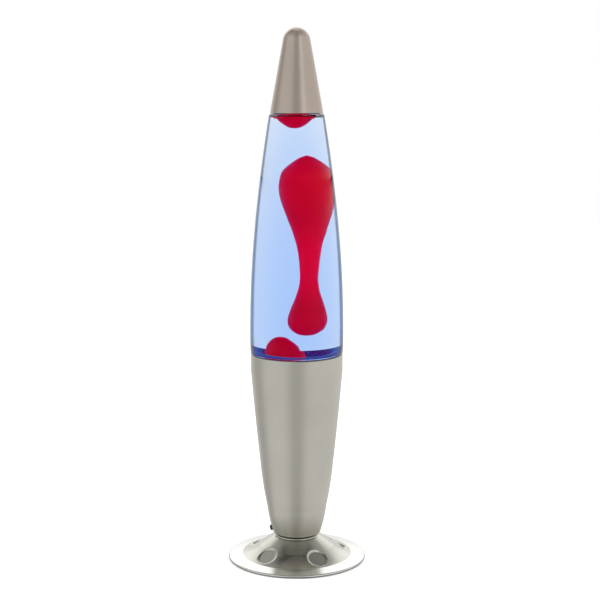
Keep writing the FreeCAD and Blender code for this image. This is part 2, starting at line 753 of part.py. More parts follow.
def bulb_glass(doc, size, cap_high):
    """Thin blown envelope, from the neck inside the screw cap to the domed front."""
    wall = size.bulb_glass_wall
    neck_top = cap_high + 0.3
    side = size.bulb_side_curve
    crown = size.bulb_crown_curve
    flare = size.bulb_flare
    inner_radius = size.bulb_radius - wall
    inner_top = size.bulb_top - wall
    return turned(doc, "bulb_glass", [
        line(size.bulb_neck - wall, size.stem_foot),
        line(size.bulb_neck, size.stem_foot),
        line(size.bulb_neck, neck_top),
        line(size.bulb_flare_radius, flare),
        arc(size.bulb_radius, dome_height(size.bulb_top, crown, size.bulb_radius), side, 1),
        arc(0, size.bulb_top, crown, 1),
        line(0, inner_top),
        arc(inner_radius, dome_height(inner_top, crown - wall, inner_radius), crown - wall, -1),
        arc(size.bulb_flare_radius - wall, flare + wall * 0.4, side - wall, -1),
        line(size.bulb_neck - wall, neck_top + wall * 0.5),
    ])


def bulb_stem(doc, size):
    """Flared glass mount that carries the filament's wires."""
    foot_radius = size.bulb_neck - size.bulb_glass_wall - 0.05
    return turned(doc, "bulb_stem", [
        line(0, size.stem_foot),
        line(foot_radius, size.stem_foot),
        line(foot_radius, size.stem_foot + 0.8),
        arc(size.stem_radius, size.stem_foot + 9, 9.5, -1),
        line(size.stem_radius, size.stem_top),
        line(0, size.stem_top),
    ])


def bulb_filament(doc, size):
    """Two lead wires that rise from the stem, with the coiled filament between their ends."""
    start = size.stem_top.value - 4
    stem = size.stem_radius.value + size.lead_radius.value + 0.1
    spread = size.lead_spread.value
    high = size.filament_height.value
    parts = []
    for side in (-1, 1):
        low_end = FreeCAD.Vector(side * stem, 0, start)
        high_end = FreeCAD.Vector(side * spread, 0, high)
        rise = high_end - low_end
        parts.append(Part.makeCylinder(size.lead_radius.value, rise.Length, low_end, rise))
        parts.append(Part.makeSphere(size.filament_radius.value, high_end))
    parts.append(Part.makeCylinder(
        size.filament_radius.value, 2 * spread, FreeCAD.Vector(-spread, 0, high), FreeCAD.Vector(1, 0, 0)
    ))
    wires = doc.addObject("Part::Feature", "bulb_filament")
    wires.Shape = parts[0].multiFuse(parts[1:]).removeSplitter()
    return wires


def globe_inside(size, inset):
    """The globe's inner outline, from the middle of its floor to the bore of its neck.

    inset is the distance from the globe's outside: the wall for the glass, and more for the liquid.
    """
    gap = inset - size.glass_wall
    floor = size.globe_floor + size.globe_floor_wall + gap
    heel = size.heel_curve - inset
    side = size.heel_radius + size.heel_thin - inset
    return [
        line(0, floor),
        line(side - heel, floor),
        arc(side, floor + heel, heel, 1),
        line(size.globe_low_radius - inset, size.globe_low_height + 0.5),
        arc(size.globe_mid_radius - inset, size.globe_mid_height, size.globe_low_curve - inset, 1),
        arc(
            size.globe_top_radius + size.inner_shoulder_shift - inset,
            size.globe_top_height - size.inner_shoulder_drop,
            size.globe_high_curve - inset,
            1,
        ),
        arc(size.roof_radius, size.roof_height - gap, size.roof_round - gap, 1),
        arc(size.finish_bore - gap, size.throat_top, size.throat_curve + gap, -1),
    ]


def globe_bottle(doc, size):
    """Blown bottle: rounded heel inside the base, step over the rim, tapering body, shoulder and neck."""
    wall = size.glass_wall
    heel = size.heel_curve
    floor = size.globe_floor
    bead = size.finish_bead
    inside = globe_inside(size, wall)
    steps = [
        line(0, floor + size.globe_punt),
        line(size.heel_radius - heel - 4, floor + size.globe_punt),
        line(size.heel_radius - heel, floor),
        arc(size.heel_radius, floor + heel, heel, 1),
        line(size.heel_radius, size.seat_height),
        line(size.globe_low_radius - size.seat_round - 0.35, size.seat_height),
        arc(size.globe_low_radius - 0.3, size.seat_height + size.seat_round, size.seat_round, 1),
        line(size.globe_low_radius, size.globe_low_height),
        arc(size.globe_mid_radius, size.globe_mid_height, size.globe_low_curve, 1),
        arc(size.globe_top_radius, size.globe_top_height, size.globe_high_curve, 1),
        arc(size.globe_top_radius - size.shoulder_width, size.shoulder_height, size.shoulder_round, 1),
        line(size.ledge_radius, size.shoulder_height),
        arc(size.finish_radius, size.finish_low, size.ledge_curve, -1),
        line(size.finish_radius, size.finish_top - 4.4),
        line(size.finish_radius + bead, size.finish_top - 3.6),
        line(size.finish_radius + bead, size.finish_top - 1.4),
        arc(size.finish_radius - 0.9, size.finish_top, 1.4, 1),
        line(size.finish_bore, size.finish_top),
    ] + reverse(inside)
    return turned(doc, "globe_bottle", steps)


def closure(doc, size):
    """Crown cap with a fluted skirt, and the liner that seals it on the neck."""
    liner_top = size.finish_top + size.liner_height
    crown_top = liner_top + size.crown_sheet
    skirt_inner = size.finish_radius + size.finish_bead + 0.1
    skirt_low = crown_top - size.crown_skirt
    liner = turned(doc, "crown_liner", tube_outline(
        Size(0, "0"), size.finish_radius - 0.2, size.finish_top, liner_top
    ))
    crown = turned(doc, "crown_cap", [
        line(0, liner_top),
        line(skirt_inner, liner_top),
        line(skirt_inner, skirt_low),
        line(size.crown_flare, skirt_low),
        line(size.crown_flare - 0.6, skirt_low + 0.8),
        line(skirt_inner + 0.8, crown_top - 1.2),
        arc(skirt_inner - 0.6, crown_top, 1.4, 1),
        line(0, crown_top),
    ])
    doc.recompute()
    flute = crown.newObject("PartDesign::SubtractiveCylinder", "flute")
    bind(flute, "Radius", size.flute_radius)
    bind(flute, "Height", size.crown_skirt)
    lean = math.degrees(math.atan2(1.6, size.crown_skirt.value))
    flute.Placement = FreeCAD.Placement(
        FreeCAD.Vector(size.crown_flare.value + 0.5, 0, skirt_low.value - 0.6),
        FreeCAD.Rotation(FreeCAD.Vector(0, 1, 0), -lean),
    )
    doc.recompute()
    pattern = crown.newObject("PartDesign::PolarPattern", "flute_pattern")
    pattern.Originals = [flute]
    pattern.Axis = (plane(crown, "Z_Axis"), [""])
    pattern.Angle = 360
    bind(pattern, "Occurrences", size.crown_flutes)
    crown.Tip = pattern
    return [liner, crown]


WAX_SHAPES = {
    # Bottom: lowest point, ball radius (none for a flat bottom) and radius where the side starts.
    # Side: radius, height, curve and side of each arc. Top: radius, ball radius and highest point.
    "wax_top": (
        (334.1, 8.6, 6.5),
        [
            (12.0, 342.8, 60.0, -1),
            (12.4, 343.8, 1.2, 1),
        ],
        (11.2, 29.0, 347.6),
    ),
    "wax_drop": (
        (177.8, 11.7, 11.4),
        [
            (9.4, 200.2, 20.0, 1),
            (5.4, 221.5, 40.0, -1),
            (7.4, 246.0, 90.0, -1),
            (13.4, 270.0, 400.0, 1),
            (16.7, 287.0, 32.0, 1),
        ],
        (12.6, 12.6, 314.1),
    ),
    "wax_mound": ((156.0, None, 10.4), [(8.9, 164.6, 60.0, 1)], (7.0, 7.6, 177.0)),
}
WAX_SHOULDER_CURVE = 26.0


def wax_outline(shape, grow):
    """Closed outline of a wax shape from the bottom up. grow makes it the liquid's larger cavity."""
    (bottom, bowl, foot_radius), side, (top_radius, dome, top) = shape
    first = foot_radius + grow
    last = top_radius + grow
    steps = [line(0, bottom - grow)]
    if bowl is None:
        steps.append(line(first, bottom - grow))
    else:
        steps.append(arc(first, bowl_height(bottom - grow, bowl + grow, first), bowl + grow, 1))
    for across, up, curve, centre_side in side:
        steps.append(arc(across + grow, up, curve + grow * centre_side, centre_side))
    steps.append(arc(last, dome_height(top + grow, dome + grow, last), WAX_SHOULDER_CURVE, 1))
    steps.append(arc(0, top + grow, dome + grow, 1))
    return steps


def wax(doc, size, name, grow):
    """One wax shape, or with grow the cavity that the liquid leaves for it."""
    label = name if grow == 0 else f"{name}_cavity"
    body = turned(doc, label, wax_outline(WAX_SHAPES[name], grow))
    bind(body, "Placement.Base.x", getattr(size, f"{name}_offset"))
    return body


def liquid(doc, size):
    """The filling, with a cavity round each wax shape."""
    inset = size.glass_wall + size.liquid_gap
    fill = turned(doc, "filling", globe_inside(size, inset) + [
        line(size.finish_bore - size.liquid_gap, size.fill_height),
        line(0, size.fill_height),
    ])
    cavities = doc.addObject("Part::Compound", "cavities")
    cavities.Links = [wax(doc, size, name, size.wax_gap.value) for name in WAX_SHAPES]
    result = doc.addObject("Part::Cut", "liquid")
    result.Base = fill
    result.Tool = cavities
    return result


def wire_coil(doc, size):
    """Ring of the wire coil's outer shape, hollow, so that it weighs about what the wire does."""
    outer = doc.addObject("Part::Torus", "coil_outside")
    inner = doc.addObject("Part::Torus", "coil_inside")
    for ring, radius in ((outer, size.coil_radius), (inner, size.coil_radius - size.coil_wall)):
        bind(ring, "Radius1", size.coil_circle)
        bind(ring, "Radius2", radius)
        bind(ring, "Placement.Base.z", size.coil_height)
    coil = doc.addObject("Part::Cut", "wire_coil")
    coil.Base = outer
    coil.Tool = inner
    return coil


def cap_shell(doc, size):
    """Spun cap: straight cone with a rounded tip, open below."""
    wall = size.metal_wall
    edge = size.cap_edge_radius
    low = size.cap_edge_height
    dome = size.cap_dome
    inner_radius = size.cap_dome_radius - wall
    inner_top = size.lamp_height - wall
    return turned(doc, "cap_shell", [
        line(edge - wall, low),
        line(edge - size.cap_edge_round, low),
        arc(edge, low + size.cap_edge_round, size.cap_edge_round, 1),
        line(size.cap_dome_radius, dome_height(size.lamp_height, dome, size.cap_dome_radius)),
        arc(0, size.lamp_height, dome, 1),
        line(0, inner_top),
        arc(inner_radius, dome_height(inner_top, dome - wall, inner_radius), dome - wall, -1),
    ])


def build(doc):
    """Every sub-part of the lamp, from the foot up."""
    size = Sizes(doc)
    nodes = [foot_dish(doc, size), foot_pad(doc, size), nipple_nuts(doc, size)]
    nodes += clamp_stack(doc, size)
    nodes += [base_cone(doc, size), cord_gland(doc, size)]
    nodes += lampholder(doc, size)
    nodes.append(terminal_screws(doc, size))
    nodes += bulb(doc, size)
    nodes += [bulb_filament(doc, size), globe_bottle(doc, size), liquid(doc, size), wire_coil(doc, size)]
    nodes += closure(doc, size)
    nodes += [wax(doc, size, name, 0) for name in WAX_SHAPES]
    nodes.append(cap_shell(doc, size))
    return nodes


def check(doc, nodes):
    """Stops with the name of anything that failed to build."""
    for item in doc.Objects:
        if "Invalid" in item.State or "Error" in item.State:
            raise RuntimeError(f"{item.Name} failed: {item.State}")
    for node in nodes:
        if node.Shape.isNull() or not node.Shape.isValid():
            raise RuntimeError(f"{node.Label} has no valid shape")


def main():
    doc = FreeCAD.newDocument("motion_lamp")
    nodes = build(doc)
    doc.recompute()
    check(doc, nodes)
    os.makedirs("parts", exist_ok=True)
    for node in nodes:
        node.Shape.exportStep(f"parts/{node.Label}.step")
        print(node.Label, len(node.Shape.Solids), round(node.Shape.Volume, 1))


main()
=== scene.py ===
import math

import bmesh
import bpy
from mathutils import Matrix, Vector


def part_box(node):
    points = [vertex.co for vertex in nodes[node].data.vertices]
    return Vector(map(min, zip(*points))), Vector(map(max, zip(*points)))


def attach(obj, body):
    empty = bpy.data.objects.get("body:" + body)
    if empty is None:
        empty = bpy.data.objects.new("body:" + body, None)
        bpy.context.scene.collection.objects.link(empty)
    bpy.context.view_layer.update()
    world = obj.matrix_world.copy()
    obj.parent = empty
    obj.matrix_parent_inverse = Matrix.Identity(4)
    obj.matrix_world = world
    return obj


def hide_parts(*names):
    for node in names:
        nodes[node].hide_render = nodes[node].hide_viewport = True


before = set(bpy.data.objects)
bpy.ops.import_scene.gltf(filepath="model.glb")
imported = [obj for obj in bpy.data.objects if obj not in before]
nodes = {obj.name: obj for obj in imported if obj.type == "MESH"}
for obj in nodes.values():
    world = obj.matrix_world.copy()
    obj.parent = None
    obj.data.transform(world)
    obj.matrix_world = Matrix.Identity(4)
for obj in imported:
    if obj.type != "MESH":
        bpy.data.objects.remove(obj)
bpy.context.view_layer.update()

MM = 0.001
TAU = 2 * math.pi

# Foot, as (radius, height) in millimetres.
CREASE = (42.6, 3.5)
TRUMPET_END = (29.5, 10.4)
TRUMPET_CURVE = 38.0
NECK_SIDE = 17.3
DECK_EDGE = 16.2
NIPPLE_HOLE = 5.15
DIMPLE_RADIUS = 7.7
DIMPLE_CIRCLE = 33.1
DIMPLE_DEPTH = 1.0
DIMPLE_TURN = 28.6      # degrees from the front to the first dimple
DIMPLE_COUNT = 5
PRESS_FROM = 16.5       # dimples don't reach inside this radius
FOOT_SEGMENTS = 420

# Wire coil, in millimetres.
COIL_CIRCLE = 23.5
COIL_HEIGHT = 159.5
COIL_MEAN = 3.65        # radius of a turn
COIL_WIRE = 0.5
COIL_TURNS = 104
COIL_STEPS = 12         # stretches of wire in a turn
WIRE_SIDES = 8


# ---------------------------------------------------------------- camera

CAMERA_HEIGHT = 350 * MM
CAMERA_DISTANCE = 1017 * MM
CAMERA_ASIDE = 2.5 * MM
CAMERA_PITCH = 8.17
CAMERA_LENS = 80.2


def add_camera():
    """From a little above the shoulder of the globe, looking slightly down."""
    data = bpy.data.cameras.new("camera")
    data.lens = CAMERA_LENS
    data.sensor_width = 36
    data.clip_start = 0.01
    camera = bpy.data.objects.new("camera", data)
    camera.location = (CAMERA_ASIDE, -CAMERA_DISTANCE, CAMERA_HEIGHT)
    camera.rotation_euler = (math.radians(90 - CAMERA_PITCH), 0, 0)
    bpy.context.scene.collection.objects.link(camera)
    bpy.context.scene.camera = camera


# ---------------------------------------------------------------- node trees

class Nodes:
    """Short calls to build a node tree."""

    def __init__(self, tree):
        self.tree = tree
        tree.nodes.clear()

    def add(self, kind, **settings):
        node = self.tree.nodes.new(kind)
        for name, value in settings.items():
            setattr(node, name, value)
        return node

    def link(self, source, target):
        self.tree.links.new(source, target)

    def math(self, operation, first, second=None, clamp=False):
        node = self.add("ShaderNodeMath", operation=operation, use_clamp=clamp)
        for socket, value in zip(node.inputs, (first, second)):
            self.put(socket, value)
        return node.outputs[0]

    def put(self, socket, value):
        """Links an output, or sets a plain value."""
        if value is None:
            return
        if isinstance(value, bpy.types.NodeSocket):
            self.link(value, socket)
        else:
            socket.default_value = value

    def mix(self, factor, first, second):
        """Mixes two colours."""
        node = self.add("ShaderNodeMix", data_type="RGBA")
        self.put(node.inputs["Factor"], factor)
        self.put(node.inputs[6], first)
        self.put(node.inputs[7], second)
        return node.outputs[2]

    def span(self, value, low, high, to_low=0.0, to_high=1.0):
        """Carries value softly from the range low to high over to the range to_low to to_high."""
        node = self.add("ShaderNodeMapRange", interpolation_type="SMOOTHSTEP")
        self.put(node.inputs["Value"], value)
        ends = {"From Min": low, "From Max": high, "To Min": to_low, "To Max": to_high}
        for name, number in ends.items():
            self.put(node.inputs[name], number)
        return node.outputs["Result"]

    def place(self, kind="Object"):
        """Texture coordinates of one kind."""
        return self.add("ShaderNodeTexCoord").outputs[kind]

    def axes(self, vector):
        """The x, y and z of a vector."""
        node = self.add("ShaderNodeSeparateXYZ")
        self.link(vector, node.inputs[0])
        return tuple(node.outputs)

    def length(self, vector):
        node = self.add("ShaderNodeVectorMath", operation="LENGTH")
        self.link(vector, node.inputs[0])
        return node.outputs["Value"]

    def flat(self, vector):
        """The vector without its z."""
        node = self.add("ShaderNodeVectorMath", operation="MULTIPLY")
        node.inputs[1].default_value = (1, 1, 0)
        self.link(vector, node.inputs[0])
        return node.outputs[0]

    def mix_shaders(self, factor, first, second):
        node = self.add("ShaderNodeMixShader")
        for socket, value in zip(node.inputs, (factor, first, second)):
            self.link(value, socket)
        return node.outputs[0]

    def glow(self, strength):
        """A white emission."""
        node = self.add("ShaderNodeEmission")
        self.put(node.inputs["Strength"], strength)
        return node.outputs[0]


# ---------------------------------------------------------------- stage and light

WHITE = (1, 1, 1, 1)
BLACK = (0, 0, 0, 1)

# Brightness of the studio that the metal mirrors. Angles are in degrees from the front.
CEILING = 0.6           # overhead
FRONT_DIM = 30          # half the width of the dimmer part at the front
FRONT_LEVEL = 0.64      # brightness of that part
GAP_ANGLE = 112         # middle of the dimmer gap on the left
GAP_WIDTH = 26          # half the gap's width
GAP_LEVEL = 0.62        # brightness in the gap
SOFT_START = 8          # the inner part of the front and of the gap, before they fade
STRIP_ANGLE = 33        # the narrow strip light on the right
STRIP_LEVEL = 0.42      # how much the strip adds
BACK_WINDOW = 0.85      # how much brighter the high part of the back is
DIFFUSE_LEVEL = 1.12    # what matt surfaces receive
THROUGH_GLASS = 1.2     # brightness of the surroundings seen through glass
FRONT_THROUGH = 0.72    # share of it at the front
FOOT_SHADE = 0.3        # how dark the floor close to the foot looks in the metal
FLOOR_LEVEL = 0.9       # how bright it looks further out

FLAG_HEIGHT = 300 * MM
FLAG_INNER = 50 * MM
FLAG_OUTER = 330 * MM
FLAG_FADE = (90, 200)   # the flag fades between these radii, in millimetres
FLAG_LEVELS = (0.07, 0.5)


def grey(level):
    """Grey colour of one brightness."""
    return (level, level, level, 1)


def studio_level(n, x, y):
    """Brightness of the studio in the direction (x, y), how far that is the back, and its angle."""
    turn = n.math("ARCTAN2", x, n.math("MULTIPLY", y, -1.0))
    aside = n.math("ABSOLUTE", turn)
    soft = math.radians(SOFT_START)
    front = n.span(aside, soft, math.radians(FRONT_DIM), FRONT_LEVEL, 1.0)
    gap = n.math("ABSOLUTE", n.math("ADD", turn, math.radians(GAP_ANGLE)))
    left_gap = n.span(gap, soft, math.radians(GAP_WIDTH), GAP_LEVEL, 1.0)
    back = n.span(aside, math.radians(120), math.radians(165))
    return n.math("MULTIPLY", front, left_gap), back, turn


def ray_switch(n, ray, first, second):
    """first for other rays, second for rays of one kind."""
    choice = n.add("ShaderNodeMix", data_type="FLOAT")
    n.put(choice.inputs["Factor"], ray)
    n.put(choice.inputs[2], first)
    n.put(choice.inputs[3], second)
    return choice.outputs[0]


def add_world():
    """White surroundings, seen directly and through glass. Metal mirrors a studio with dim parts."""
    world = bpy.data.worlds.new("studio")
    world.cycles.sampling_method = "NONE"
    bpy.context.scene.world = world
    world.use_nodes = True
    n = Nodes(world.node_tree)
    x, y, z = n.axes(n.place("Generated"))
    ring, back, turn = studio_level(n, x, y)
    window = n.math("MULTIPLY", back, n.span(z, 0.15, 0.38, 0.05, BACK_WINDOW))
    ring = n.math("MULTIPLY", ring, n.math("ADD", window, 1.0))
    from_strip = n.math("ABSOLUTE", n.math("SUBTRACT", turn, math.radians(STRIP_ANGLE)))
    strip = n.span(from_strip, 0.09, 0.20, STRIP_LEVEL, 0.0)
    strip_height = n.math("MULTIPLY", n.span(z, 0.05, 0.16), n.span(z, 0.5, 0.75, 1.0, 0.0))
    ring = n.math("ADD", ring, n.math("MULTIPLY", strip, strip_height))
    level = n.math("MULTIPLY", ring, n.span(z, 0.42, 0.92, 1.0, CEILING))
    rays = n.add("ShaderNodeLightPath")
    aside = n.math("ABSOLUTE", turn)
    dim = FRONT_THROUGH * THROUGH_GLASS
    front = n.span(aside, math.radians(20), math.radians(75), dim, THROUGH_GLASS)
    lit = ray_switch(n, rays.outputs["Is Diffuse Ray"], level, DIFFUSE_LEVEL)
    through = ray_switch(n, rays.outputs["Is Transmission Ray"], lit, front)
    strength = ray_switch(n, rays.outputs["Is Camera Ray"], through, 1.0)
    light = n.add("ShaderNodeBackground")
    light.inputs["Color"].default_value = WHITE
    n.put(light.inputs["Strength"], strength)
    out = n.add("ShaderNodeOutputWorld")
    n.link(light.outputs[0], out.inputs["Surface"])


def add_floor():
    """Wide white floor. In the metal it looks as bright as the studio in that direction."""
    mesh = bpy.data.meshes.new("floor")
    size = 3.0
    mesh.from_pydata(
        [(-size, -size, 0), (size, -size, 0), (size, size, 0), (-size, size, 0)], [], [(0, 1, 2, 3)]
    )
    floor = bpy.data.objects.new("floor", mesh)
    bpy.context.scene.collection.objects.link(floor)
    material, n, shader, out = new_material("floor")
    shader.inputs["Base Color"].default_value = (0.93, 0.93, 0.93, 1)
    shader.inputs["Roughness"].default_value = 0.6
    shader.inputs["Specular IOR Level"].default_value = 0.1
    place = n.place()
    x, y, _ = n.axes(place)
    level, _, _ = studio_level(n, x, y)
    shade = n.span(n.length(place), 52 * MM, 70 * MM, FOOT_SHADE, FLOOR_LEVEL)
    rays = n.add("ShaderNodeLightPath")
    through = rays.outputs["Is Transmission Ray"]
    mirrored = n.math("SUBTRACT", rays.outputs["Is Glossy Ray"], through, True)
    surface = n.mix_shaders(mirrored, shader.outputs[0], n.glow(n.math("MULTIPLY", level, shade)))
    surface = n.mix_shaders(through, surface, n.glow(THROUGH_GLASS))
    n.link(surface, out.inputs["Surface"])
    mesh.materials.append(material)


def add_flag():
    """Dark ring over the foot, as a studio's black flag. Only metal below it mirrors it."""
    segments = 48
    mesh = bpy.data.meshes.new("flag")
    verts = [
        (radius * math.cos(TAU * i / segments), radius * math.sin(TAU * i / segments), FLAG_HEIGHT)
        for radius in (FLAG_INNER, FLAG_OUTER)
        for i in range(segments)
    ]
    faces = []
    for i in range(segments):
        j = (i + 1) % segments
        faces.append((i, j, j + segments, i + segments))
    mesh.from_pydata(verts, [], faces)
    flag = bpy.data.objects.new("flag", mesh)
    bpy.context.scene.collection.objects.link(flag)
    material, n, _, out = new_material("flag")
    near, far = (math.hypot(FLAG_HEIGHT, radius * MM) for radius in FLAG_FADE)
    dim = n.glow(n.span(n.length(n.place()), near, far, *FLAG_LEVELS))
    backface = n.add("ShaderNodeNewGeometry").outputs["Backfacing"]
    clear = n.add("ShaderNodeBsdfTransparent").outputs[0]
    n.link(n.mix_shaders(backface, dim, clear), out.inputs["Surface"])
    mesh.materials.append(material)
    flag.visible_camera = False
    flag.visible_diffuse = False
    flag.visible_transmission = False
    flag.visible_volume_scatter = False
    flag.visible_shadow = False


def add_soft_light(name, place, aim, size, watts):
    """Large soft light that only matt surfaces show."""
    data = bpy.data.lights.new(name, "AREA")
    data.shape = "RECTANGLE"
    data.size, data.size_y = size
    data.energy = watts
    light = bpy.data.objects.new(name, data)
    light.location = place
    light.rotation_euler = (Vector(aim) - Vector(place)).to_track_quat("-Z", "Y").to_euler()
    light.visible_camera = False
    light.visible_transmission = False
    light.visible_glossy = False
    bpy.context.scene.collection.objects.link(light)


def add_bulb_glow():
    """Glow of the lit bulb on the inside of the base."""
    data = bpy.data.lights.new("bulb_glow", "POINT")
    data.energy = 0.03
    data.color = (1.0, 0.93, 0.82)
    data.shadow_soft_size = 0.008
    light = bpy.data.objects.new("bulb_glow", data)
    light.location = (0, 0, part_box("bulb_glass")[1].z + 0.010)
    light.visible_camera = False
    light.visible_transmission = False
    bpy.context.scene.collection.objects.link(light)


def add_lights():
    """The bulb and three large lights, from both sides of the front and from above."""
    add_bulb_glow()
    add_soft_light("soft_left", (-1.3, -0.75, 0.75), (0, 0, 0.2), (0.9, 1.2), 8)
    add_soft_light("soft_right", (1.3, -0.75, 0.75), (0, 0, 0.2), (0.9, 1.2), 8)
    add_soft_light("soft_top", (0, 0.3, 1.9), (0, 0, 0.1), (1.4, 1.4), 8)


# ---------------------------------------------------------------- materials

def new_material(name):
    """Material with one Principled shader: the material, its nodes, the shader and the output."""
    material = bpy.data.materials.new(name)
    material.use_nodes = True
    n = Nodes(material.node_tree)
    out = n.add("ShaderNodeOutputMaterial")
    shader = n.add("ShaderNodeBsdfPrincipled")
    n.link(shader.outputs[0], out.inputs["Surface"])
    return material, n, shader, out


def object_place(n, scale=(1, 1, 1)):
    """Object coordinates in metres, stretched by scale."""
    mapping = n.add("ShaderNodeMapping")
    mapping.inputs["Scale"].default_value = scale
    n.link(n.place(), mapping.inputs[0])
    return mapping.outputs[0]


def noise(n, place, scale, detail=3.0, rough=0.5):
    """Value of a noise pattern."""
    node = n.add("ShaderNodeTexNoise")
    node.inputs["Scale"].default_value = scale
    node.inputs["Detail"].default_value = detail
    node.inputs["Roughness"].default_value = rough
    n.link(place, node.inputs["Vector"])
    return node.outputs["Fac"]


def bump(n, shader, height, depth, strength=1.0):
    """Fine relief on a shader's surface, with its depth in metres."""
    node = n.add("ShaderNodeBump")
    node.inputs["Distance"].default_value = depth
    node.inputs["Strength"].default_value = strength
    n.link(height, node.inputs["Height"])
    n.link(node.outputs[0], shader.inputs["Normal"])


def inward(n):
    """1 on walls that face the lamp's axis."""
    along = n.add("ShaderNodeVectorMath", operation="DOT_PRODUCT")
    n.link(n.flat(n.place()), along.inputs[0])
    n.link(n.add("ShaderNodeNewGeometry").outputs["Normal"], along.inputs[1])
    return n.math("LESS_THAN", along.outputs["Value"], -0.005)


def light_inside(n, shader):
    """The lit bulb's light on the inside of the base's wall, weaker near the rim."""
    glow = n.mix(inward(n), BLACK, (0.90, 0.95, 1.0, 1))
    n.link(glow, shader.inputs["Emission Color"])
    _, _, up = n.axes(n.place())
    n.link(n.span(up, 134 * MM, 152 * MM, 0.30, 0.12), shader.inputs["Emission Strength"])


def axis_distance(n):
    """Distance from the lamp's axis in metres."""
    return n.length(n.flat(n.place()))


def spun_metal(name, colour, rough, warm, lit=False, painted_trumpet_reflection=None):
    """Satin spun aluminium: fine turned lines, a powdery grain and faint handling marks.

    lit adds the bulb's light on the inside, and the last argument is a darker colour painted inside the
    foot's crease: a painted reflection of the dark base above it.
    """
    material, n, shader, _ = new_material(name)
    shader.inputs["Metallic"].default_value = 1.0
    lines = noise(n, object_place(n, (6, 6, 2600)), 1.0, 2.0)
    grain = noise(n, object_place(n), 5200.0, 2.0)
    cloud = noise(n, object_place(n), 28.0, 3.0)
    tone = n.span(cloud, 0.3, 0.7, 0.0, 1.0)
    base = n.mix(tone, colour, warm)
    # Painted reflection: inside the crease the foot takes a darker, warmer colour.
    if painted_trumpet_reflection:
        base = n.mix(n.math("LESS_THAN", axis_distance(n), CREASE[0] * MM), base, painted_trumpet_reflection)
    speck = n.span(grain, 0.35, 0.65, 0.0, 0.10)
    n.link(n.mix(speck, base, (0.80, 0.79, 0.76, 1)), shader.inputs["Base Color"])
    turned = n.span(lines, 0.3, 0.7, rough - 0.02, rough + 0.04)
    handled = n.span(cloud, 0.3, 0.7, -0.02, 0.03)
    n.link(n.math("ADD", turned, handled), shader.inputs["Roughness"])
    height = n.math("ADD", n.math("MULTIPLY", lines, 0.6), n.math("MULTIPLY", grain, 0.4))
    bump(n, shader, height, 0.00002, 0.55)
    if lit:
        light_inside(n, shader)
    return material


def plain_metal(name, colour, rough, grain_scale=1800.0):
    """Small metal parts: plated or drawn, with a fine grain and uneven shine."""
    material, n, shader, _ = new_material(name)
    shader.inputs["Metallic"].default_value = 1.0
    cloud = noise(n, object_place(n), 160.0, 4.0)
    darker = tuple(c * 0.72 for c in colour[:3]) + (1,)
    n.link(n.mix(n.span(cloud, 0.3, 0.75), colour, darker), shader.inputs["Base Color"])
    n.link(n.span(cloud, 0.25, 0.75, rough - 0.06, rough + 0.12), shader.inputs["Roughness"])
    bump(n, shader, noise(n, object_place(n), grain_scale), 0.00003, 0.4)
    return material


def moulded(name, colour, rough, grain_scale=1500.0, depth=0.00003):
    """Moulded plastic, rubber, fibre or ceramic: mottled colour and a fine skin."""
    material, n, shader, _ = new_material(name)
    cloud = noise(n, object_place(n), 120.0, 4.0)
    lighter = tuple(min(1.0, c * 1.35 + 0.01) for c in colour[:3]) + (1,)
    n.link(n.mix(n.span(cloud, 0.35, 0.75), colour, lighter), shader.inputs["Base Color"])
    n.link(n.span(cloud, 0.25, 0.75, rough - 0.05, rough + 0.1), shader.inputs["Roughness"])
    bump(n, shader, noise(n, object_place(n), grain_scale), depth, 0.5)
    return material


def clear_glass(name, tint, dark, ior, shine):
    """Clear glass with painted edge shade: tinted near its edge and dark at the very edge, by how far the
    surface turns from the view. shine is how much it mirrors.
    """
    material, n, shader, _ = new_material(name)
    shader.inputs["Transmission Weight"].default_value = 1.0
    shader.inputs["IOR"].default_value = ior
    shader.inputs["Specular Tint"].default_value = grey(shine)
    facing = n.add("ShaderNodeLayerWeight")
    facing.inputs["Blend"].default_value = 0.5
    # Painted edge shade: tint near the edge, dark at the very edge.
    edge = n.span(facing.outputs["Facing"], 0.55, 0.68)
    rim = n.span(facing.outputs["Facing"], 0.80, 0.92)
    n.link(n.mix(rim, n.mix(edge, WHITE, tint), dark), shader.inputs["Base Color"])
    wave = noise(n, object_place(n), 22.0, 1.0)
    n.link(n.span(wave, 0.3, 0.7, 0.0, 0.006), shader.inputs["Roughness"])
    bump(n, shader, wave, 0.00002, 1.0)
    return material


def blue_liquid(name):
    """Clear blue liquid: the colour comes from the length of the light's way through it."""
    material, n, shader, out = new_material(name)
    shader.inputs["Transmission Weight"].default_value = 1.0
    shader.inputs["IOR"].default_value = 1.34
    shader.inputs["Specular Tint"].default_value = grey(0)
    wave = noise(n, object_place(n), 14.0, 1.0)
    n.link(n.span(wave, 0.3, 0.7, 0.0, 0.004), shader.inputs["Roughness"])
    absorb = n.add("ShaderNodeVolumeAbsorption")
    absorb.inputs["Color"].default_value = (0.14, 0.50, 1.0, 1)
    absorb.inputs["Density"].default_value = 15.0
    n.link(absorb.outputs[0], out.inputs["Volume"])
    return material


WAX_GLOW = 0.44         # light from the bulb inside the wax
NECK_GLOW = 0.36        # how much more there is in the drop's thin neck


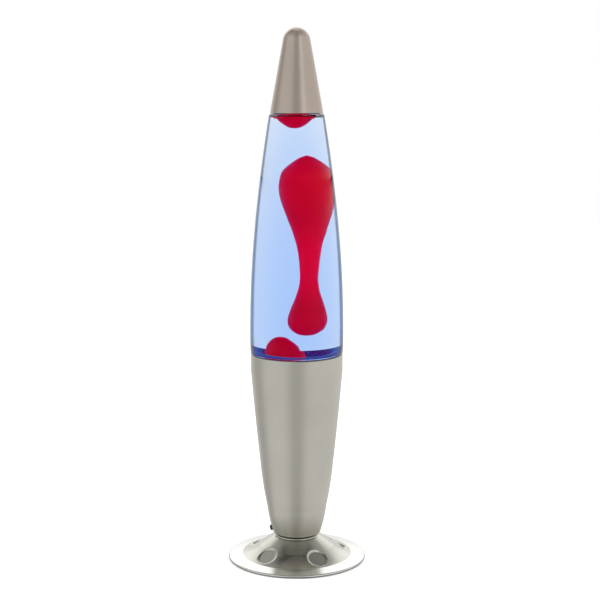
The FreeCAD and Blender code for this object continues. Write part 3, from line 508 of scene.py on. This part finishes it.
def red_wax(name):
    """Translucent red wax: light bleeds through it, and its edge turns magenta in the blue liquid."""
    material, n, shader, _ = new_material(name)
    cloud = noise(n, object_place(n), 60.0, 3.0)
    body = n.mix(n.span(cloud, 0.35, 0.7), (0.95, 0.0, 0.03, 1), (0.88, 0.0, 0.02, 1))
    n.link(body, shader.inputs["Base Color"])
    shader.inputs["Subsurface Weight"].default_value = 0.9
    shader.inputs["Subsurface Radius"].default_value = (0.012, 0.0004, 0.0016)
    shader.inputs["Subsurface Scale"].default_value = 1.0
    shader.inputs["Specular IOR Level"].default_value = 0.08
    shader.inputs["Sheen Weight"].default_value = 0.9
    shader.inputs["Sheen Roughness"].default_value = 0.4
    shader.inputs["Sheen Tint"].default_value = (0.8, 0.0, 0.8, 1)
    shader.inputs["Emission Color"].default_value = (0.8, 0.0, 0.03, 1)
    _, _, up = n.axes(n.place())
    neck = n.math("MULTIPLY", n.span(up, 196 * MM, 222 * MM), n.span(up, 236 * MM, 272 * MM, 1.0, 0.0))
    glow = n.math("ADD", n.math("MULTIPLY", neck, NECK_GLOW), WAX_GLOW)
    n.link(glow, shader.inputs["Emission Strength"])
    n.link(n.span(cloud, 0.3, 0.7, 0.3, 0.42), shader.inputs["Roughness"])
    bump(n, shader, cloud, 0.0003, 0.35)
    return material


def lit_wire(name):
    """Wire of the coil, lit from below: violet at its foot and bright blue along its top."""
    material, n, shader, _ = new_material(name)
    shader.inputs["Metallic"].default_value = 1.0
    shader.inputs["Base Color"].default_value = (0.02, 0.03, 0.10, 1)
    shader.inputs["Roughness"].default_value = 0.45
    _, _, up = n.axes(n.place())
    cloud = noise(n, object_place(n), 240.0, 2.0)
    level = n.math("ADD", up, n.math("MULTIPLY", cloud, 2 * MM))
    height = n.span(level, (COIL_HEIGHT + 3.0) * MM, (COIL_HEIGHT + 5.4) * MM)
    n.link(n.mix(height, (0.085, 0.012, 0.19, 1), (0.0, 0.10, 0.48, 1)), shader.inputs["Emission Color"])
    shader.inputs["Emission Strength"].default_value = 0.75
    bump(n, shader, cloud, 0.00005, 0.4)
    return material


def paint(material, *names):
    """Puts a material on CAD nodes."""
    for name in names:
        for slot in nodes[name].material_slots:
            slot.material = material


# ---------------------------------------------------------------- shapes

def new_piece(name, mesh, body, material, replaced):
    """A visible piece on a body, in place of the CAD nodes that are named in replaced."""
    piece = bpy.data.objects.new(name, mesh)
    bpy.context.scene.collection.objects.link(piece)
    mesh.materials.append(material)
    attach(piece, body)
    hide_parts(*replaced)


def new_mesh(name, verts, faces):
    """A smooth mesh. Faces with more than four corners stay flat."""
    mesh = bpy.data.meshes.new(name)
    mesh.from_pydata(verts, [], faces)
    for face in mesh.polygons:
        face.use_smooth = len(face.vertices) <= 4
    return mesh


def round_point(across, turn, up, aside=(0.0, 0.0)):
    """Point in metres from millimetres: across from an axis that stands aside from the lamp's."""
    return ((aside[0] + across * math.cos(turn)) * MM, (aside[1] + across * math.sin(turn)) * MM, up * MM)


def line(across, up):
    """A straight step of an outline."""
    return (across, up, None, 0)


def arc(across, up, curve, side):
    """A round step of an outline. side is 1 with the centre on the left of the way, -1 on the right."""
    return (across, up, curve, side)


def arc_points(start, end, curve, side, step=4.0):
    """Points on an arc after its start, at most about step degrees or 3 mm apart."""
    chord = Vector(end) - Vector(start)
    half = chord.length / 2
    left = Vector((-chord.y, chord.x)).normalized()
    centre = (Vector(start) + Vector(end)) / 2 + left * side * math.sqrt(max(curve ** 2 - half ** 2, 0))
    first = math.atan2(start[1] - centre.y, start[0] - centre.x)
    sweep = 2 * math.asin(min(1, half / curve)) * side
    count = max(3, int(abs(math.degrees(sweep)) / step), int(chord.length / 3))
    turns = [first + sweep * i / count for i in range(1, count)]
    points = [(centre.x + curve * math.cos(turn), centre.y + curve * math.sin(turn)) for turn in turns]
    return points + [tuple(end)]


def outline_points(steps):
    """Corners and rounds of an outline, in millimetres, as one list of points."""
    points = [tuple(steps[0][:2])]
    for across, up, curve, side in steps[1:]:
        end = (across, up)
        points += [end] if curve is None else arc_points(points[-1], end, curve, side)
    return points


ON_AXIS = 1e-6           # an outline's point this close to the axis is one vertex


def lathe(name, points, segments=160, aside=(lambda up: (0.0, 0.0))):
    """Closed turned mesh from an outline that starts and ends on the axis, bottom first."""
    verts = []
    faces = []
    rings = []
    for across, up in points:
        count = 1 if across < ON_AXIS else segments
        rings.append(range(len(verts), len(verts) + count))
        if count == 1:
            across = 0.0
        verts += [round_point(across, TAU * i / segments, up, aside(up)) for i in range(count)]
    for lower, upper in zip(rings, rings[1:]):
        for i in range(segments):
            j = (i + 1) % segments
            if len(lower) == 1 and len(upper) == 1:
                break
            if len(lower) == 1:
                faces.append((lower[0], upper[i], upper[j]))
            elif len(upper) == 1:
                faces.append((lower[i], lower[j], upper[0]))
            else:
                faces.append((lower[i], lower[j], upper[j], upper[i]))
    mesh = new_mesh(name, verts, faces)
    work = bmesh.new()
    work.from_mesh(mesh)
    bmesh.ops.recalc_face_normals(work, faces=work.faces)
    work.to_mesh(mesh)
    work.free()
    return mesh


# The globe's glass. Its outside is given as (radius, height), in millimetres.
GLASS_WALL = 2.2
HEEL_ROUND = 8.0
HEEL_RADIUS = 33.8
WIDEST = (36.0, 170.5)
MIDDLE = (31.53, 266.5)
SHOULDER = (21.46, 342.0)
LOWER_CURVE = 905
UPPER_CURVE = 1268
# Its inside at the shoulder and in the neck.
ROOF = (18.0, 343.6)
ROOF_ROUND = 2.2
THROAT = (10.2, 352.5)
THROAT_ROUND = 9.0
PUNT_GAP = 0.15         # the liquid goes this far under its CAD box, to the floor of the glass
OVERLAP = 0.12          # the liquid reaches this far into the glass, so that no air shows between them


def add_liquid(material):
    """The filling, from the globe's floor to its surface in the neck."""
    inset = GLASS_WALL - OVERLAP
    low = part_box("liquid")[0].z / MM - PUNT_GAP - OVERLAP
    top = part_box("liquid")[1].z / MM
    heel = HEEL_ROUND - inset
    steps = [
        line(0, low),
        line(HEEL_RADIUS - inset - heel, low),
        arc(HEEL_RADIUS - inset, low + heel, heel, 1),
        line(WIDEST[0] - inset, WIDEST[1]),
        arc(MIDDLE[0] - inset, MIDDLE[1], LOWER_CURVE - inset, 1),
        arc(SHOULDER[0] - inset, SHOULDER[1], UPPER_CURVE - inset, 1),
        arc(ROOF[0], ROOF[1] + OVERLAP, ROOF_ROUND + OVERLAP, 1),
        arc(THROAT[0] + OVERLAP, THROAT[1], THROAT_ROUND - OVERLAP, -1),
        line(THROAT[0] + OVERLAP, top),
        line(0, top),
    ]
    mesh = lathe("liquid_fill", outline_points(steps))
    new_piece("liquid_fill", mesh, "globe", material, ("liquid",))


# Profiles of the wax: radius and height of the points that a smooth curve goes through, in millimetres.
WAX_TOP = [
    (0, 334.0), (3.2, 334.6), (6.2, 336.7), (8.5, 339.0), (10.4, 341.1), (12.0, 342.8), (12.4, 343.9),
    (11.3, 345.3), (7.0, 347.0), (0, 347.6),
]
WAX_DROP = [
    (0, 177.8), (5.0, 178.8), (9.6, 182.6), (11.5, 188.6), (10.4, 196.4), (7.5, 206.9), (5.5, 217.5),
    (5.5, 227.5), (6.9, 243.0), (9.7, 256.0), (13.4, 269.5), (16.2, 281.0), (16.9, 290.5), (15.5, 299.0),
    (13.7, 303.0), (10.2, 307.0), (7.0, 310.0), (4.0, 312.3), (0, 314.0),
]
WAX_MOUND = [
    (0, 155.8), (10.6, 155.8), (12.3, 157.3), (11.6, 162.5), (10.3, 166.8), (8.2, 171.0), (5.2, 174.5),
    (3.1, 176.2), (0, 177.0),
]
WAX_SEGMENTS = 96


def catmull_rom(t, a, b, c, d):
    """Value at t between b and c on the curve through a, b, c and d."""
    square = 2 * a - 5 * b + 4 * c - d
    cube = 3 * b - a - 3 * c + d
    return 0.5 * (2 * b + (c - a) * t + square * t * t + cube * t ** 3)


def smooth_profile(points, per_span=4):
    """Catmull-Rom curve through the points of a profile."""
    padded = [points[0]] + list(points) + [points[-1]]
    result = []
    for p0, p1, p2, p3 in zip(padded, padded[1:], padded[2:], padded[3:]):
        for i in range(per_span):
            t = i / per_span
            result.append(tuple(catmull_rom(t, *values) for values in zip(p0, p1, p2, p3)))
    result.append(tuple(points[-1]))
    return [(max(0.0, across), up) for across, up in result]


def drop_aside(up):
    """The long drop's axis bows a little to the right in the middle."""
    low, high = WAX_DROP[0][1], WAX_DROP[-1][1]
    share = (up - low) / (high - low)
    return (5.8 + 1.5 * math.sin(math.pi * min(1, max(0, share))), 0.0)


def mound_aside(up):
    """The mound leans to the left as it rises."""
    return (-6.2 - 3.0 * min(1, max(0, (up - 158.0) / 16.0)), 0.0)


def add_wax(material):
    """The three pieces of wax. The top one hangs a little to the left of the axis."""
    shapes = {
        "wax_under_shoulder": (WAX_TOP, lambda up: (-1.2, 0.0), "top_wax", "wax_top"),
        "wax_long_drop": (WAX_DROP, drop_aside, "drop_wax", "wax_drop"),
        "wax_floor_mound": (WAX_MOUND, mound_aside, "mound_wax", "wax_mound"),
    }
    for name, (profile, aside, body, node) in shapes.items():
        mesh = lathe(name, smooth_profile(profile), WAX_SEGMENTS, aside)
        new_piece(name, mesh, body, material, (node,))


def add_coil(material):
    """Open wire spring laid round the globe's floor, its ends meeting at the back."""
    steps = COIL_TURNS * COIL_STEPS
    span = TAU * 0.985
    start = math.radians(93)
    centres = []
    for i in range(steps + 1):
        along = i / steps
        turn = start + span * along
        twist = TAU * COIL_TURNS * along + 0.35 * math.sin(5 * turn) + 0.22 * math.sin(11 * turn + 1)
        across = COIL_CIRCLE + COIL_MEAN * math.cos(twist)
        up = COIL_HEIGHT + COIL_MEAN * math.sin(twist)
        centres.append(Vector((across * math.cos(turn), across * math.sin(turn), up)))
    verts = []
    faces = []
    sides = WIRE_SIDES
    normal = Vector((0, 0, 1))
    for i, centre in enumerate(centres):
        tangent = (centres[min(i + 1, steps)] - centres[max(i - 1, 0)]).normalized()
        normal = (normal - tangent * normal.dot(tangent)).normalized()
        other = tangent.cross(normal)
        for k in range(sides):
            around = TAU * k / sides
            point = centre + (normal * math.cos(around) + other * math.sin(around)) * COIL_WIRE
            verts.append(tuple(point * MM))
    for i in range(steps):
        for k in range(sides):
            a, b = i * sides + k, i * sides + (k + 1) % sides
            faces.append((a, b, b + sides, a + sides))
    faces.append(tuple(reversed(range(sides))))
    faces.append(tuple(range(steps * sides, (steps + 1) * sides)))
    mesh = new_mesh("coil_spring", verts, faces)
    new_piece("coil_spring", mesh, "globe", material, ("wire_coil",))


# Underside of the foot dish, as (radius, height) in millimetres.
DECK_WALL = 1.0
UNDER_NECK = 16.0
UNDER_TRUMPET = (28.9, 9.45)
UNDER_CREASE = (42.3, 2.45)
# The folded edge.
HEM_INNER = 49.9
HEM_MIDDLE = 52.4
HEM_LOW = 0.2
HEM_ROUND = 1.1
FOLD_HEIGHT = 1.685

DIMPLE_SHOULDER = 1.8   # width of the rounded edge round a dimple
SHOULDER_OUT = 0.8      # how far it reaches outside the dimple's radius
UNDER_DIMPLE = 0.8      # how much wider a dimple is on the underside


def foot_outline():
    """The spun dish from the crease inwards over the top, down the hole and back underneath."""
    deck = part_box("foot_dish")[1].z / MM
    top = [CREASE] + arc_points(CREASE, TRUMPET_END, TRUMPET_CURVE, -1, 0.6)
    top += straight(top[-1], (NECK_SIDE, deck - 1.1), 0.45)
    top += arc_points(top[-1], (DECK_EDGE, deck), 1.5, 1, 12)
    under = [(NIPPLE_HOLE, deck), (NIPPLE_HOLE, deck - DECK_WALL), (UNDER_NECK, deck - DECK_WALL)]
    under += straight(under[-1], UNDER_TRUMPET, 1.0)
    under += arc_points(under[-1], UNDER_CREASE, TRUMPET_CURVE + DECK_WALL, 1, 1.5)
    hem = [(HEM_INNER, FOLD_HEIGHT), (HEM_INNER, HEM_LOW), (HEM_MIDDLE, HEM_LOW)]
    hem += arc_points(hem[-1], (HEM_MIDDLE + HEM_ROUND, HEM_LOW + HEM_ROUND), HEM_ROUND, 1, 15)
    hem += arc_points(hem[-1], (HEM_MIDDLE, HEM_LOW + 2 * HEM_ROUND), HEM_ROUND, 1, 15)
    return top, under, hem


def straight(start, end, step):
    """Points along a straight stretch, after its start."""
    count = max(1, round((Vector(end) - Vector(start)).length / step))
    return [tuple(Vector(start).lerp(Vector(end), i / count)) for i in range(1, count + 1)]


def dimple_frames():
    """Middle and outward direction of each dimple."""
    ends = (Vector(CREASE), Vector(TRUMPET_END))
    chord = ends[1] - ends[0]
    right = Vector((chord.y, -chord.x)).normalized()
    centre = (ends[0] + ends[1]) / 2 + right * math.sqrt(TRUMPET_CURVE ** 2 - (chord.length / 2) ** 2)
    slope = math.asin((centre.x - DIMPLE_CIRCLE) / TRUMPET_CURVE)
    up = centre.y - TRUMPET_CURVE * math.cos(slope)
    frames = []
    for i in range(DIMPLE_COUNT):
        turn = math.radians(DIMPLE_TURN - 90 + 360 * i / DIMPLE_COUNT)
        outward = Vector((math.cos(turn), math.sin(turn), 0))
        normal = outward * math.sin(slope) + Vector((0, 0, math.cos(slope)))
        frames.append((outward * DIMPLE_CIRCLE + Vector((0, 0, up)), normal))
    return frames


def press(point, frames, radius, sink):
    """Moves a point of the dish down to the flat floor of a dimple, with a rounded shoulder."""
    for middle, normal in frames:
        away = point - middle
        height = away.dot(normal)
        if abs(height) > 6:
            continue
        apart = (away - normal * height).length
        share = min(1, max(0, (radius + SHOULDER_OUT - apart) / DIMPLE_SHOULDER))
        share = share * share * (3 - 2 * share)
        if share > 0:
            return point - normal * (height + sink) * share
    return point


def add_foot(material):
    """The foot dish with rounded edges on its pressed dimples."""
    frames = dimple_frames()
    top, under, hem = foot_outline()
    points = top + under + hem
    verts = []
    for index, (across, up) in enumerate(points):
        below = index >= len(top)
        for i in range(FOOT_SEGMENTS):
            turn = TAU * i / FOOT_SEGMENTS
            point = Vector((across * math.cos(turn), across * math.sin(turn), up))
            if PRESS_FROM < across < CREASE[0] and index < len(top) + len(under):
                radius = DIMPLE_RADIUS + UNDER_DIMPLE * below
                point = press(point, frames, radius, DIMPLE_DEPTH + DECK_WALL * below)
            verts.append(tuple(point * MM))
    faces = []
    count = len(points)
    for ring in range(count):
        after = (ring + 1) % count
        for i in range(FOOT_SEGMENTS):
            j = (i + 1) % FOOT_SEGMENTS
            near, far = ring * FOOT_SEGMENTS, after * FOOT_SEGMENTS
            faces.append((near + i, near + j, far + j, far + i))
    mesh = new_mesh("spun_foot_dish", verts, faces)
    mesh.set_sharp_from_angle(angle=math.radians(35))
    for edge in mesh.edges:
        if edge.vertices[0] < FOOT_SEGMENTS and edge.vertices[1] < FOOT_SEGMENTS:
            edge.use_edge_sharp = True
    new_piece("spun_foot_dish", mesh, "base", material, ("foot_dish",))


# ---------------------------------------------------------------- the lamp

def finish_cad_nodes():
    """Materials on the pieces that keep the CAD model's shape."""
    paint(spun_metal("spun_base", (0.53, 0.515, 0.45, 1), 0.36, (0.50, 0.485, 0.425, 1), True), "base_cone")
    paint(spun_metal("spun_cap", (0.42, 0.35, 0.30, 1), 0.30, (0.40, 0.335, 0.285, 1)), "cap_shell")
    zinc = plain_metal("zinc_plate", (0.62, 0.60, 0.55, 1), 0.32)
    paint(zinc, "nipple_nuts", "lock_washer", "mounting_nipple", "terminal_screws")
    brass = plain_metal("brass_sheet", (0.72, 0.52, 0.24, 1), 0.28)
    paint(brass, "lampholder_shell", "lampholder_contact")
    paint(plain_metal("nickel_cap", (0.66, 0.64, 0.58, 1), 0.25), "bulb_screw_cap")
    paint(plain_metal("solder_tip", (0.55, 0.55, 0.55, 1), 0.45), "bulb_contact")
    paint(plain_metal("tungsten_wire", (0.30, 0.29, 0.28, 1), 0.4), "bulb_filament")
    paint(plain_metal("tinplate", (0.74, 0.73, 0.70, 1), 0.24), "crown_cap")
    paint(moulded("black_fibre", (0.022, 0.024, 0.028, 1), 0.6), "neck_washer")
    paint(moulded("black_rubber", (0.016, 0.015, 0.014, 1), 0.55), "cord_gland")
    paint(moulded("foam_pad", (0.028, 0.028, 0.03, 1), 0.9, 900.0, 0.0002), "foot_pad")
    moulding = moulded("black_moulding", (0.028, 0.026, 0.024, 1), 0.3)
    paint(moulding, "lampholder_base", "lampholder_sleeve")
    paint(moulded("ceramic_core", (0.74, 0.70, 0.62, 1), 0.7, 700.0, 0.0001), "lampholder_core")
    paint(moulded("black_glass", (0.012, 0.012, 0.018, 1), 0.12), "bulb_insulator")
    paint(moulded("liner_plastic", (0.66, 0.66, 0.63, 1), 0.5), "crown_liner")
    # The tint and dark colours of both glasses are painted edge shade.
    bulb = clear_glass("bulb_clear", (0.75, 0.8, 0.8, 1), (0.5, 0.55, 0.55, 1), 1.5, 1.0)
    paint(bulb, "bulb_glass", "bulb_stem")
    globe = clear_glass("globe_clear", (0.001, 0.05, 0.17, 1), (0.001, 0.005, 0.02, 1), 1.5, 0.03)
    paint(globe, "globe_bottle")


def set_light_paths():
    """Enough bounces for the many glass and liquid surfaces that lie behind one another."""
    cycles = bpy.context.scene.cycles
    cycles.max_bounces = 28
    cycles.transmission_bounces = 28
    cycles.glossy_bounces = 12


def main():
    """The whole scene."""
    bpy.context.scene.view_settings.view_transform = "Standard"
    set_light_paths()
    add_camera()
    add_world()
    add_floor()
    add_flag()
    add_lights()
    finish_cad_nodes()
    add_liquid(blue_liquid("blue_liquid"))
    add_wax(red_wax("red_wax"))
    add_coil(lit_wire("steel_wire"))
    # The darker colour inside the foot's crease is a painted reflection of the dark base above it.
    foot_metal = spun_metal("spun_foot", (0.66, 0.66, 0.63, 1), 0.22, (0.63, 0.63, 0.60, 1),
                            painted_trumpet_reflection=(0.46, 0.45, 0.40, 1))
    add_foot(foot_metal)


main()
bpy.context.view_layer.update()
